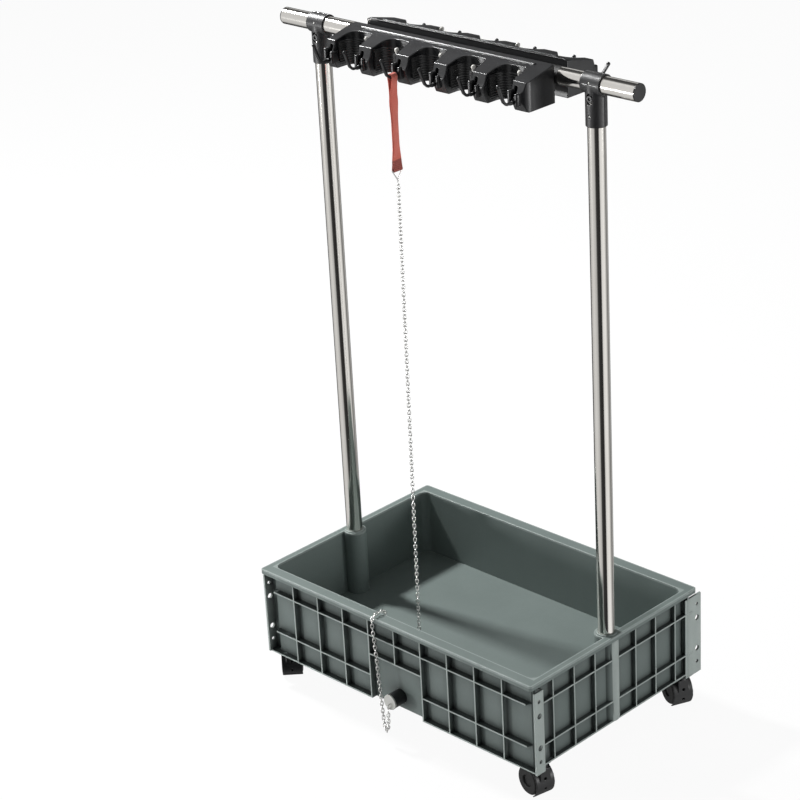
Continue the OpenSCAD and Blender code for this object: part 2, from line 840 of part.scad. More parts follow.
module gripper(side, k) {
    at = len(search(k, slid_forward)) > 0 ? grip_start + grip_travel : grip_start;
    color(rubber_black) on_tube(side) on_slant(k) translate([-grip_off, -at, 0]) {
        translate([0, 0, ledge_top + free]) cylinder(r = grip_r, h = sleeve_top - ledge_top - free);
        translate([0, 0, ledge_top - ledge_t - free - stud_head_h])
            cylinder(r = stud_head_r, h = stud_head_h);
        translate([0, 0, ledge_top - ledge_t - free - eps])
            cylinder(r = stud_r, h = ledge_t + 2 * free + 1);
        translate([0, 0, sleeve_top - eps]) cylinder(r = neck_r, h = ball_z - sleeve_top);
        translate([0, 0, ball_z]) sphere(ball_r);
    }
}

module hook(side, k) {
    swung = side == "front" ? hook_rest[0] : hook_rest[1];
    color(moulded_black) on_tube(side) translate([hook_at[k - 1], hinge_y, hinge_z]) rotate([swung, 0, 0])
        difference() {
            union() {
                side_cut(hook_w) polygon(bar_outline(concat([[0, 0]], hook_bends), hook_t / 2));
                rod_x(eye_r, hook_w);
            }
            rod_x(pin_r + fit, 2 * hook_w);
        }
}

module hook_pins(side) {
    color(zinc) on_tube(side) for (x = hook_at)
        translate([x, hinge_y, hinge_z]) rod_x(pin_r, pin_l);
}

// Casters, in a frame at the swivel axis on the floor; the wheels trail towards -y

module at_caster(i) {
    corner = CORNERS[i];
    translate([is_left(corner) ? -caster_x : caster_x, caster_rows[is_front(corner) ? 0 : 1], 0])
        rotate(caster_yaw[i]) children();
}

module hood_sector(r) {
    turns = [for (i = [0:4]) hood_from + (hood_to - hood_from) * i / 4];
    intersection() {
        circle(r);
        polygon(concat([[0, 0]], [for (a = turns) 2 * r * [cos(a), sin(a)]]));
    }
}

module caster_hood(i) {
    hood_r = wheel_r + wheel_gap;
    top = ride_h - free;
    neck_top = top - neck_drop;
    color(moulded_black) at_caster(i) difference() {
        union() {
            translate([0, -trail, wheel_r]) {
                side_cut(hood_w) difference() {
                    hood_sector(hood_r + hood_t);
                    circle(hood_r);
                }
                side_cut(web_w) {
                    hood_sector(hood_r + hood_t / 2);
                    circle(hub_r);
                }
                side_cut(2 * neck_half) difference() {
                    translate([trail - neck_half, 0]) square([2 * neck_half, neck_top - wheel_r]);
                    circle(hood_r + hood_t / 2);
                }
            }
            translate([0, 0, neck_top - eps]) cylinder(r = swivel_r, h = neck_drop + eps);
            translate([0, 0, top - eps]) cylinder(r = stem_r, h = stem_up);
        }
        translate([0, -trail, wheel_r]) {
            rod_x(axle_r + fit, 2 * web_w);
            for (a = vent_turns) rotate([a, 0, 0])
                translate([0, hood_r + hood_t - vent_deep, 0]) rotate([-90, 0, 0])
                    cylinder(r = vent_r, h = 3 * vent_deep);
        }
    }
}

module caster_wheels(i) {
    inner = web_w / 2 + wheel_gap;
    color(moulded_black) at_caster(i) translate([0, -trail, wheel_r]) {
        rod_x(axle_r, 2 * inner + 2);
        for (x = [-1, 1]) scale_x(x) translate([inner, 0, 0]) rotate([0, 90, 0]) rotate_extrude()
            polygon([
                [0, 0], [wheel_r - tread_round, 0], [wheel_r, tread_round],
                [wheel_r, wheel_w - tread_round], [wheel_r - tread_round, wheel_w],
                [hub_r + 2, wheel_w], [hub_r, wheel_w - hub_deep], [0, wheel_w - hub_deep]
            ]);
    }
}

module caster_sockets() {
    color(zinc) for (x = [-1, 1], y = caster_rows)
        translate([x * caster_x, y, ride_h]) difference() {
            cylinder(r = stem_r + seat + sleeve_wall, h = stem_up + 1);
            translate([0, 0, -eps]) cylinder(r = stem_r + fit, h = stem_up + 2);
        }
}

// Strap, ring and chain

strap_x = rail_x + hook_at[strap_hook - 1];
strap_y = hinge_y + (hook_bends[1][0] + hook_bends[2][0]) / 2;
bar_top = hinge_z + hook_bends[1][1] + hook_t / 2;
strap_top = bar_top - strap_loop_r * 0.36;

function arc(middle, r, from, to) =
    [for (i = [0:16]) let (a = from + (to - from) * i / 16) middle + r * [cos(a), sin(a)]];

// The loop of webbing seen along y: over the hook, down, and round the ring's bar
module strap_outline(t) {
    half = strap_layers / 2 + t;
    polygon(concat(
        arc([0, strap_top], strap_loop_r + t, -8, 188),
        [[-half, strap_neck_z], [-half, strap_foot_z]],
        arc([0, strap_end_z], ring_wire + free + t, 172, 368),
        [[half, strap_foot_z], [half, strap_neck_z]]
    ));
}

module strap() {
    color(strap_red) translate([strap_x, strap_y, tube_z]) rotate([90, 0, 0]) difference() {
        linear_extrude(strap_w, center = true) strap_outline(strap_t);
        linear_extrude(strap_w + 1, center = true) strap_outline(0);
    }
}

module strap_ring() {
    corners = [[-ring_half, 0], [ring_half, 0], [0, -ring_drop]];
    color(steel) translate([strap_x, strap_y, tube_z + strap_end_z]) for (i = [0:2])
        let (from = corners[i], run = corners[(i + 1) % 3] - corners[i])
            translate([0, from[0], from[1]]) {
                sphere(ring_wire);
                rotate([atan2(run[1], run[0]) - 90, 0, 0]) cylinder(r = ring_wire, h = norm(run));
            }
}

// The chain's envelope: a tube swept along the route, turned as little as possible between rings
function chain_run(i) = unit(chain_route[min(i + 1, len(chain_route) - 1)] - chain_route[max(i - 1, 0)]);
function chain_normal(i) =
    let (last = i == 0 ? [1, 0, 0] : chain_normal(i - 1), run = chain_run(i))
        unit(last - (last * run) * run);
function chain_ring(i) =
    let (n = chain_normal(i), b = cross(chain_run(i), n))
        [for (a = [0:chain_sides - 1])
            chain_route[i] + chain_r * (cos(360 * a / chain_sides) * n + sin(360 * a / chain_sides) * b)];

module chain() {
    rings = len(chain_route);
    s = chain_sides;
    points = [for (i = [0:rings - 1]) each chain_ring(i)];
    sides = [for (i = [0:rings - 2], a = [0:s - 1])
        let (p = i * s + a, q = i * s + (a + 1) % s) each [[p, q + s, q], [p, p + s, q + s]]];
    caps = [for (a = [1:s - 2]) each [[0, a, a + 1], [(rings - 1) * s, rings * s - a, rings * s - a - 1]]];
    color(steel) polyhedron(points, concat(sides, caps), convexity = 10);
}

tub();
drain_elbow();
drain_strainer();
drain_gasket();
stopper();
cross_tube();
tee_bolts();
tee_nuts();
rail_bolts();
rail_nuts();
caster_sockets();
strap();
strap_ring();
chain();
for (i = [0, 1]) {
    post(2 * i - 1);
    end_cap(2 * i - 1);
}
for (c = CORNERS)
    tee(c);
for (i = [0:3]) {
    caster_hood(i);
    caster_wheels(i);
}
for (s = SIDES) {
    rail(s);
    grip_pads(s);
    hook_pins(s);
    for (k = [1:SLOTS])
        gripper(s, k);
    for (k = [1:HOOKS])
        hook(s, k);
}
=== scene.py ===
# %% [markdown]
# # A mop rack trolley
# The object is a grey drip tub on four casters with two stainless posts, a cross tube and two black
# holder rails set back to back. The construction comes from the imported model, in metres. This lesson
# dresses it: it keeps the solids that are right, rounds the edges of moulded pieces, and makes the
# strap and the chain from what they really are.

import json
import math

import bmesh
import bpy
from mathutils import Matrix, Vector


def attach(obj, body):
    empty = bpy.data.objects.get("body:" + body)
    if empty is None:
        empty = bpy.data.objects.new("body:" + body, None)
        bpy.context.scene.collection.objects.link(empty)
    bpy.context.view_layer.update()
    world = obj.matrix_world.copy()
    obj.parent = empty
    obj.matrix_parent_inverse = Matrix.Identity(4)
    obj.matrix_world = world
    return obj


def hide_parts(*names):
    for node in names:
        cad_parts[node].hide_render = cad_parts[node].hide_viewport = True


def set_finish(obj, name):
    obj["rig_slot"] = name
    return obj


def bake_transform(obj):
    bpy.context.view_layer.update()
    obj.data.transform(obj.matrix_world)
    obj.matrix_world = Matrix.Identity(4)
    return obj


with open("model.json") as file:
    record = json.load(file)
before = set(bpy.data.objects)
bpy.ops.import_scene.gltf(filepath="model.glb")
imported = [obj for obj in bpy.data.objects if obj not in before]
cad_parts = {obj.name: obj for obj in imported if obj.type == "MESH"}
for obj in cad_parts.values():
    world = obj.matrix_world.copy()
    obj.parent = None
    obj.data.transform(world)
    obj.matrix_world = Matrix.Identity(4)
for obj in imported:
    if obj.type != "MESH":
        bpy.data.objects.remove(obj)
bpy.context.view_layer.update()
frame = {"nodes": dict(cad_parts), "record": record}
nodes = frame["nodes"]
members_of_body = frame["record"]["behaviour"]["bodies"]
body_of_node = {node: body for body, members in members_of_body.items() for node in members}
slot_of_node = {row["node"]: row["material_slot"] for row in frame["record"]["subparts"]}
MM = 0.001

# %% [markdown]
# ## Camera
# The camera stands to the right of the front, a little above, and is tilted by three degrees. A long
# lens keeps the posts nearly parallel. Its axes are built from the three angles, so no helper that
# depends on the render size is needed.

# %% Camera
AZIMUTH, ELEVATION, ROLL = (math.radians(a) for a in (45.68, 24.15, -3.23))
CAMERA_AT = Vector((2.5193, -2.6127, 2.1882))
LENS_MM, SENSOR_MM = 109.6, 36

towards = Vector((math.sin(AZIMUTH) * math.cos(ELEVATION),
                  -math.cos(AZIMUTH) * math.cos(ELEVATION), math.sin(ELEVATION)))
level_right = Vector((0, 0, 1)).cross(towards).normalized()
level_up = towards.cross(level_right)
picture_right = math.cos(ROLL) * level_right + math.sin(ROLL) * level_up
picture_up = math.cos(ROLL) * level_up - math.sin(ROLL) * level_right

camera = bpy.data.objects.new("camera", bpy.data.cameras.new("camera"))
camera.data.sensor_width = SENSOR_MM
camera.data.lens = LENS_MM
camera.matrix_world = (Matrix.Translation(CAMERA_AT)
                       @ Matrix((picture_right, picture_up, towards)).transposed().to_4x4())
bpy.context.scene.collection.objects.link(camera)
bpy.context.scene.camera = camera
print("camera at", [round(v, 3) for v in CAMERA_AT])

# %% [markdown]
# ## From a bmesh to a piece
# A bmesh becomes an object at the origin with its place in its mesh. A piece rides on a body when it is
# given one, and rides on none otherwise; it may stand for a solid, and names the material slot that its
# finish comes from. One function does all of this.


# %% From a bmesh to a piece
def piece_from(bm, name, body, slot, stands_for=(), sharp_deg=35):
    """Makes an object, shades it smooth up to an angle, and ties it to its body, if it has one."""
    mesh = bpy.data.meshes.new(name)
    for face in bm.faces:
        face.smooth = True
    bm.to_mesh(mesh)
    bm.free()
    mesh.set_sharp_from_angle(angle=math.radians(sharp_deg))
    piece = bpy.data.objects.new(name, mesh)
    bpy.context.scene.collection.objects.link(piece)
    if body:
        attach(piece, body)
    if stands_for:
        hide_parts(*stands_for)
    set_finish(piece, slot)
    return piece


# %% [markdown]
# ## The chain
# The real chain has welded oval links of about 2 mm wire. One link is a ring that is spun from a small
# circle and then pulled long; copies of it follow the same route as the solid, every other one turned
# by a quarter. It hangs from the strap's ring, lies on the floor of the tub, climbs over the rim and
# ends at the stopper.

# %% Chain route
CHAIN_ROUTE_MM = [
    (-37, -94, 951.5), (-37, -94, 900), (-37, -95, 800), (-36, -97, 700), (-36, -98, 600),
    (-36, -99, 500), (-35, -101, 400), (-35, -102, 300), (-34, -104, 200), (-34, -105, 140),
    (-34, -107, 125), (-34, -112, 115), (-34, -121, 110), (-34, -135, 110), (-34, -150, 110),
    (-34, -163, 111), (-34, -173, 116), (-34, -179, 127), (-34, -180, 145), (-34, -180, 175),
    (-34, -180, 200), (-34, -180, 215), (-34, -180.5, 221), (-34, -182, 226), (-34, -183.5, 228),
    (-34, -185.5, 229.5), (-34, -190, 231), (-35, -197, 231), (-35, -203.5, 231), (-34, -208, 229.5),
    (-34, -210, 228), (-34, -211.5, 226), (-34, -213, 221), (-33, -213.5, 215), (-30, -214, 190),
    (-27, -214, 160), (-24, -215, 130), (-20.5, -216, 100), (-18, -217, 75), (-15, -218, 52),
    (-12, -219, 36), (-9, -220, 28), (-5, -220, 28), (-2, -220, 36), (-1, -220, 48), (0, -220.5, 60),
    (0, -220.5, 69.5),
]
chain_route = [Vector(p) * MM for p in CHAIN_ROUTE_MM]
chain_length = sum((b - a).length for a, b in zip(chain_route, chain_route[1:]))
print("chain length:", round(chain_length, 3))

# %% One link
LINK_ACROSS, LINK_PITCH, LINK_WIRE = 6.6 * MM, 6.4 * MM, 1.8 * MM
WIRE_SIDES, LINK_STEPS = 6, 12


def link_mesh():
    """One oval link around the origin, long in y."""
    bm = bmesh.new()
    wire = bmesh.ops.create_circle(bm, radius=LINK_WIRE / 2, segments=WIRE_SIDES)["verts"]
    bmesh.ops.rotate(bm, verts=wire, matrix=Matrix.Rotation(math.pi / 2, 3, "X"))
    bmesh.ops.translate(bm, verts=wire, vec=((LINK_ACROSS - LINK_WIRE) / 2, 0, 0))
    bmesh.ops.spin(bm, geom=bm.verts[:] + bm.edges[:], cent=(0, 0, 0), axis=(0, 0, 1),
                   angle=2 * math.pi, steps=LINK_STEPS, use_merge=True)
    pull = (LINK_PITCH + 2 * LINK_WIRE - LINK_ACROSS) / 2
    for v in bm.verts:
        if abs(v.co.y) > LINK_WIRE / 4:
            v.co.y += math.copysign(pull, v.co.y)
    bmesh.ops.recalc_face_normals(bm, faces=bm.faces)
    mesh = bpy.data.meshes.new("link")
    bm.to_mesh(mesh)
    bm.free()
    return mesh


link = link_mesh()
print("faces of one link:", len(link.polygons))

# %% Links along the route
LINK_TURN_DEG, NEXT_TURN_DEG = 45, 90


def walk(points, step):
    """Points at equal steps along a line of points, each with the direction of the line there."""
    found, carried = [], step / 2
    for a, b in zip(points, points[1:]):
        run = (b - a).length
        while carried <= run:
            found.append((a.lerp(b, carried / run), (b - a).normalized()))
            carried += step
        carried -= run
    return found


bm = bmesh.new()
link_places = walk(chain_route, LINK_PITCH)
for i, (at, along) in enumerate(link_places):
    first = len(bm.verts)
    bm.from_mesh(link)
    side = (Vector((1, 0, 0)) - along.x * along).normalized()
    turn = math.radians(LINK_TURN_DEG + NEXT_TURN_DEG * (i % 2))
    turned = Matrix.Rotation(turn, 3, along) @ side
    place = Matrix((turned, along, turned.cross(along))).transposed().to_4x4()
    bm.verts.ensure_lookup_table()
    bmesh.ops.transform(bm, matrix=Matrix.Translation(at) @ place, verts=bm.verts[first:])
bpy.data.meshes.remove(link)
chain = piece_from(bm, "chain_links", None, "chain_steel", ["chain"], sharp_deg=60)
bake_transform(chain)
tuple(chain_route[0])
print("chain links:", len(link_places))

# %% [markdown]
# ## The strap
# The red pull strap is a loop of woven webbing. It goes over the bar of one hook, down in two layers,
# and round the bar of the wire ring. A row of vertices across the webbing is spun round the hook,
# drawn down, spun round the ring and drawn up again. Then the loop is gathered on the hook and turned
# a little, as webbing hangs, and gets its thickness from a modifier.


# %% Strap moves
def verts_in(geom):
    """The vertices among what an operator made."""
    return [g for g in geom if isinstance(g, bmesh.types.BMVert)]


def edges_in(geom):
    """The edges among what an operator made."""
    return [g for g in geom if isinstance(g, bmesh.types.BMEdge)]


def drawn(bm, row, target_x, target_z, steps=1):
    """Extrudes a row of edges to a place seen along the webbing, in equal steps."""
    for _ in range(steps):
        here = row[0].verts[0].co
        move = Vector(((target_x - here.x) / steps, 0, (target_z - here.z) / steps))
        geom = bmesh.ops.extrude_edge_only(bm, edges=row)["geom"]
        bmesh.ops.translate(bm, verts=verts_in(geom), vec=move)
        row, steps = edges_in(geom), steps - 1
    return row


def spun(bm, row, centre_z, turn_deg, steps):
    """Spins a row of edges round a bar at a height and gives the last row."""
    corners = list({v: None for e in row for v in e.verts})
    made = bmesh.ops.spin(bm, geom=corners + row, cent=(0, 0, centre_z), axis=(0, 1, 0),
                          angle=math.radians(turn_deg), steps=steps)
    return edges_in(made["geom_last"])


# %% Strap loop
STRAP_HALF = 9.5 * MM
HOOK_Z, RING_Z = -22.76 * MM, -172 * MM
HOOK_LOOP_R, RING_LOOP_R, LAYER_X = 5.0 * MM, 2.1 * MM, 1.1 * MM
NECK_Z, FOOT_Z = -52 * MM, -164 * MM
ROW_STEPS, DROP_STEPS, TILT_DEG = 6, 16, 8

tilt, loop_turn_deg = math.radians(TILT_DEG), -(180 + 2 * TILT_DEG)
bm = bmesh.new()
across = [bm.verts.new((LAYER_X, STRAP_HALF * (2 * i / ROW_STEPS - 1), NECK_Z))
          for i in range(ROW_STEPS + 1)]
row = [bm.edges.new(pair) for pair in zip(across, across[1:])]
row = drawn(bm, row, HOOK_LOOP_R * math.cos(tilt), HOOK_Z - HOOK_LOOP_R * math.sin(tilt), steps=3)
row = spun(bm, row, HOOK_Z, loop_turn_deg, steps=14)
row = drawn(bm, row, -LAYER_X, NECK_Z, steps=3)
row = drawn(bm, row, -LAYER_X, FOOT_Z, steps=DROP_STEPS)
row = drawn(bm, row, -RING_LOOP_R * math.cos(tilt), RING_Z + RING_LOOP_R * math.sin(tilt), steps=2)
row = spun(bm, row, RING_Z, loop_turn_deg, steps=10)
row = drawn(bm, row, LAYER_X, FOOT_Z, steps=2)
row = drawn(bm, row, LAYER_X, NECK_Z, steps=DROP_STEPS)
bmesh.ops.remove_doubles(bm, verts=bm.verts, dist=1e-5)
bmesh.ops.recalc_face_normals(bm, faces=bm.faces)

weave_uv = bm.loops.layers.uv.new("weave")
for face in bm.faces:
    for loop in face.loops:
        loop[weave_uv].uv = (loop.vert.co.y / MM, loop.vert.co.z / MM)
print("faces of the loop:", len(bm.faces))

# %% Strap as it hangs
STRAP_AT = Vector((-37, -94.05, 1142)) * MM
STRAP_T, STRAP_SOFT, STRAP_LENGTH = 1.5 * MM, 0.4 * MM, 0.154
GATHERED, TURNED = 0.62, math.radians(20)
GATHER_Z, TURN_Z, UNTURN_Z = (-34 * MM, -70 * MM), (-40 * MM, -95 * MM), (-170 * MM, -130 * MM)
STRAP_PATH_MM = (-20, -60, -100, -140, -174)


def eased(value, start, end):
    """A share from 0 to 1 that starts and stops softly."""
    share = min(1, max(0, (value - start) / (end - start)))
    return share * share * (3 - 2 * share)


for v in bm.verts:
    turn = TURNED * eased(v.co.z, *TURN_Z) * eased(v.co.z, *UNTURN_Z)
    v.co.y *= GATHERED + (1 - GATHERED) * eased(v.co.z, *GATHER_Z)
    v.co.xy = Matrix.Rotation(turn, 2) @ v.co.xy
bmesh.ops.translate(bm, verts=bm.verts, vec=STRAP_AT)
strap = piece_from(bm, "strap_webbing_loop", None, "strap_webbing", ["strap"], sharp_deg=80)
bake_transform(strap)
thick = strap.modifiers.new("webbing", "SOLIDIFY")
thick.thickness, thick.offset = STRAP_T, 0
soft = strap.modifiers.new("soft edge", "BEVEL")
soft.width, soft.segments, soft.limit_method = STRAP_SOFT, 2, "ANGLE"
strap_path = [STRAP_AT + Vector((0, 0, z * MM)) for z in STRAP_PATH_MM]
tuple(strap_path[0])
print("strap length:", STRAP_LENGTH, "width:", 2 * STRAP_HALF)

# %% [markdown]
# ## Rounded copies of the moulded solids
# A solid from the model has knife-sharp edges, and a real moulding has none: light runs along its small
# radii. Large plain pieces, such as the tub and the rails, are merged and their outer edges bevelled.
# Small lumpy pieces, such as the clamps, are rebuilt from small cells, and smoothing melts every edge
# and every added lump into one skin. A copy stands for its solid, which stays for the motion.

# %% Two ways to round a solid
SEWN_WITHIN = 2e-6
STANDS_OUT, STAYS_FLAT = math.radians(28), math.radians(0.5)


def solid_mesh(node):
    """A solid's mesh with its loose triangles sewn together."""
    bm = bmesh.new()
    bm.from_mesh(nodes[node].data)
    bmesh.ops.remove_doubles(bm, verts=bm.verts, dist=SEWN_WITHIN)
    return bm


def bevelled_copy(node, width, segments=2):
    """A copy with its flat faces joined again and the edges that stand out bevelled."""
    bm = solid_mesh(node)
    bmesh.ops.dissolve_limit(bm, angle_limit=STAYS_FLAT, verts=bm.verts, edges=bm.edges)
    standing = [e for e in bm.edges
                if len(e.link_faces) == 2 and e.calc_face_angle_signed(0) > STANDS_OUT]
    bmesh.ops.bevel(bm, geom=standing, offset=width, offset_type="OFFSET", segments=segments,
                    profile=0.5, affect="EDGES", clamp_overlap=False, material=-1)
    piece = piece_from(bm, node + "_shell", body_of_node[node], slot_of_node[node], [node])
    piece.modifiers.new("flat faces stay flat", "WEIGHTED_NORMAL").keep_sharp = True
    return piece


def melted_copy(node, cell, rounds, share, lumps=None):
    """A copy rebuilt from small cells and smoothed; share is the share of its faces that stays."""
    bm = solid_mesh(node)
    if lumps:
        lumps(bm)
    piece = piece_from(bm, node + "_shell", body_of_node[node], slot_of_node[node], [node],
                       sharp_deg=180)
    cells = piece.modifiers.new("small cells", "REMESH")
    cells.mode, cells.voxel_size, cells.use_smooth_shade = "VOXEL", cell, True
    ease = piece.modifiers.new("melted edges", "SMOOTH")
    ease.factor, ease.iterations = 0.5, rounds
    piece.modifiers.new("fewer faces", "DECIMATE").ratio = share
    seen = piece.evaluated_get(bpy.context.evaluated_depsgraph_get())
    skin = bpy.data.meshes.new_from_object(seen)
    piece.modifiers.clear()
    piece.data = skin
    piece.modifiers.new("flat faces stay flat", "WEIGHTED_NORMAL")
    return piece


# %% [markdown]
# ## Rails and hooks
# A rail is one thick moulding with soft edges. Every hook turns between two hinge cheeks, a tall and a
# short one, which are blocks with well rounded edges that stand in the nose. A hook is a bent bar with
# a ball at its tip. The ball could be a piece of its own, but then a seam would show, so both are
# melted into one skin.

# %% Hinge cheeks and hook tips
RAIL_X, RAIL_Z = 0.0125, 1.142
HOOKS_MM = (-197.5, -129.5, -49.5, 30.5, 110.5, 189.5)
HINGE_MM, HOOK_TIP_MM, HOOK_TIP_R_MM = (-78.55, -16), (-37.2, 23.4), 3.1
HOOK_REST = {"front": 0, "rear": math.radians(30)}
# A cheek's row has its side of the hook, its width and depth, and its ends below and above the hinge.
CHEEKS_MM = ((-1, 7.0, 17, -13, 11), (1, 6.5, 15, -13, 7))
CHEEK_GAP_MM, CHEEK_OUT_MM, CHEEK_ROUND_MM = 2.9, 0.5, 2.6


def on_rail(side):
    """The frame of a rail, in millimetres, on the front or the rear of the tube."""
    turn = Matrix.Rotation(0 if side == "front" else math.pi, 4, "Z")
    return Matrix.Translation((RAIL_X, 0, RAIL_Z)) @ turn @ Matrix.Scale(MM, 4)


def hinge_cheeks(side):
    """The cheeks on both sides of every hook, the left one taller."""
    bm = bmesh.new()
    for x in HOOKS_MM:
        for hand, wide, deep, low, high in CHEEKS_MM:
            beside = hand * (CHEEK_GAP_MM + wide / 2)
            middle = (x + beside, HINGE_MM[0] - CHEEK_OUT_MM, HINGE_MM[1] + (low + high) / 2)
            size = Matrix.Diagonal((wide, deep, high - low, 1))
            bmesh.ops.create_cube(bm, size=1, matrix=Matrix.Translation(middle) @ size)
    bmesh.ops.bevel(bm, geom=bm.edges[:], offset=CHEEK_ROUND_MM, offset_type="OFFSET", segments=4,
                    profile=0.5, affect="EDGES", material=-1)
    bmesh.ops.transform(bm, matrix=on_rail(side), verts=bm.verts)
    return piece_from(bm, "hinge_cheeks_" + side, "trolley", "black_plastic")


def ball_tip(side, x):
    """Gives a function that adds the ball at a hook's tip, where the hook rests."""
    def grow(bm):
        turned = Matrix.Translation((x, *HINGE_MM)) @ Matrix.Rotation(HOOK_REST[side], 4, "X")
        tip = on_rail(side) @ turned @ Matrix.Translation((0, *HOOK_TIP_MM))
        bmesh.ops.create_uvsphere(bm, u_segments=16, v_segments=10, radius=HOOK_TIP_R_MM, matrix=tip)
    return grow


# %% Rails and hooks
RAIL_EDGE, HOOK_CELL = 1.3 * MM, 0.5 * MM
rounded = {}
for side in ("front", "rear"):
    rounded["rail_" + side] = bevelled_copy("rail_" + side, RAIL_EDGE, segments=3)
    rounded["hinge_cheeks_" + side] = hinge_cheeks(side)
    for k, x in enumerate(HOOKS_MM, start=1):
        node = f"hook_{side}_{k}"
        rounded[node] = melted_copy(node, HOOK_CELL, rounds=3, share=0.3, lumps=ball_tip(side, x))
print("rail faces:", len(rounded["rail_front"].data.polygons),
      "hook faces:", len(rounded["hook_front_1"].data.polygons))

# %% [markdown]
# ## Pads in the slots
# The pad on the left wall of a slot is rubber with level ridges, which a handle is pressed against. A
# bump in the finish would leave its outline straight, so a box is cut into rows and every other row is
# pushed out.

# %% Pads
PAD_T, PAD_Y, PAD_LOW, PAD_H = 3, (-70.55, -57.05), -28, 30
PAD_ROWS, RIDGE_OUT, PAD_SOFT = 15, 1.3, 0.35 * MM
SLOTS, SLOT_PITCH, MIDDLE_WALL_X = 5, 80, -31.5
for side in ("front", "rear"):
    bm = bmesh.new()
    for k in range(SLOTS):
        wall_x = (k - SLOTS // 2) * SLOT_PITCH + MIDDLE_WALL_X
        size = (PAD_T, PAD_Y[1] - PAD_Y[0], PAD_H, 1)
        middle = (wall_x + PAD_T / 2, sum(PAD_Y) / 2, PAD_LOW + PAD_H / 2)
        bmesh.ops.create_cube(bm, size=1, matrix=Matrix.Translation(middle) @ Matrix.Diagonal(size))
    upright = [e for e in bm.edges if abs(e.verts[0].co.z - e.verts[1].co.z) > PAD_H / 2]
    bmesh.ops.subdivide_edges(bm, edges=upright, cuts=PAD_ROWS - 1, use_grid_fill=True)
    for v in bm.verts:
        row = round((v.co.z - PAD_LOW) * PAD_ROWS / PAD_H)
        off_wall = (v.co.x - MIDDLE_WALL_X) % SLOT_PITCH
        if row % 2 and abs(off_wall - PAD_T) < PAD_T / 2:
            v.co.x += RIDGE_OUT
    bmesh.ops.transform(bm, matrix=on_rail(side), verts=bm.verts)
    pads = piece_from(bm, "ridged_pads_" + side, "trolley", "rubber", ["grip_pads_" + side],
                      sharp_deg=70)
    soft = pads.modifiers.new("soft edge", "BEVEL")
    soft.width, soft.segments, soft.limit_method = PAD_SOFT, 2, "ANGLE"
    rounded["grip_pads_" + side] = pads
print("pad faces:", len(rounded["grip_pads_front"].data.polygons))

# %% [markdown]
# ## Tub, clamps, casters and small mouldings
# The tub is a large plain moulding, so its edges are bevelled, and so are the wheels, caps and drain.
# The clamps and the caster hoods have many small forms and are melted. Each clamp half has two rivet
# heads in its dimples, made from flattened balls.

# %% Tub, clamps, casters and small mouldings
TUB_EDGE, WHEEL_EDGE, SMALL_EDGE = 0.8 * MM, 1.0 * MM, 0.6 * MM
CLAMP_CELL, HOOD_CELL = 0.7 * MM, 0.8 * MM
rounded["tub"] = bevelled_copy("tub", TUB_EDGE, segments=3)
for corner in ("front_left", "front_right", "rear_left", "rear_right"):
    tee, hood, wheels = ("tee_" + corner, "caster_hood_" + corner, "caster_wheels_" + corner)
    rounded[tee] = melted_copy(tee, CLAMP_CELL, rounds=3, share=0.3)
    rounded[hood] = melted_copy(hood, HOOD_CELL, rounds=4, share=0.3)
    rounded[wheels] = bevelled_copy(wheels, WHEEL_EDGE, segments=3)
for node in ("end_cap_left", "end_cap_right", "drain_elbow", "stopper"):
    rounded[node] = bevelled_copy(node, SMALL_EDGE)
print("tub faces:", len(rounded["tub"].data.polygons))

# %% Rivet heads
POST_X, CLAMP_R = 0.289, 0.0165
RIVET_R, RIVET_SUNK, RIVET_FLAT, RIVETS_UP = 1.9 * MM, 0.9 * MM, 0.6, (3 * MM, -47 * MM)
bm = bmesh.new()
for x in (-POST_X, POST_X):
    for out in (-1, 1):
        for up in RIVETS_UP:
            at = Matrix.Translation((x, out * (CLAMP_R - RIVET_SUNK), RAIL_Z + up))
            bmesh.ops.create_uvsphere(bm, u_segments=14, v_segments=8, radius=RIVET_R,
                                      matrix=at @ Matrix.Diagonal((1, RIVET_FLAT, 1, 1)))
rounded["rivets"] = piece_from(bm, "clamp_rivets", "trolley", "zinc")
print("rounded copies and rivets:", len(rounded))

# %% [markdown]
# ## Writing shader maths
# A finish is easier to read as sums than as a picture of nodes. The small class wraps one socket, and
# sums on it add Math nodes. Every other node comes from one method, which sets the node up first and
# then fills or links its sockets.


# %% A socket in sums
class Wire:
    """A socket that can take part in sums."""

    def __init__(self, finish, socket):
        self.finish, self.socket = finish, socket

    def sum(self, operation, *values):
        return self.finish.add("ShaderNodeMath", {"operation": operation}, dict(enumerate(values)))

    def __add__(self, other):
        return self.sum("ADD", self, other)

    def __sub__(self, other):
        return self.sum("SUBTRACT", self, other)

    def __rsub__(self, other):
        return self.sum("SUBTRACT", other, self)

    def __mul__(self, other):
        return self.sum("MULTIPLY", self, other)

    def __gt__(self, other):
        return self.sum("GREATER_THAN", self, other)

    def __lt__(self, other):
        return self.sum("LESS_THAN", self, other)

    def __abs__(self):
        return self.sum("ABSOLUTE", self)

    def __or__(self, other):
        return self.sum("MAXIMUM", self, other)

    def sine(self):
        return self.sum("SINE", self)

    __radd__, __rmul__, __ror__ = __add__, __mul__, __or__


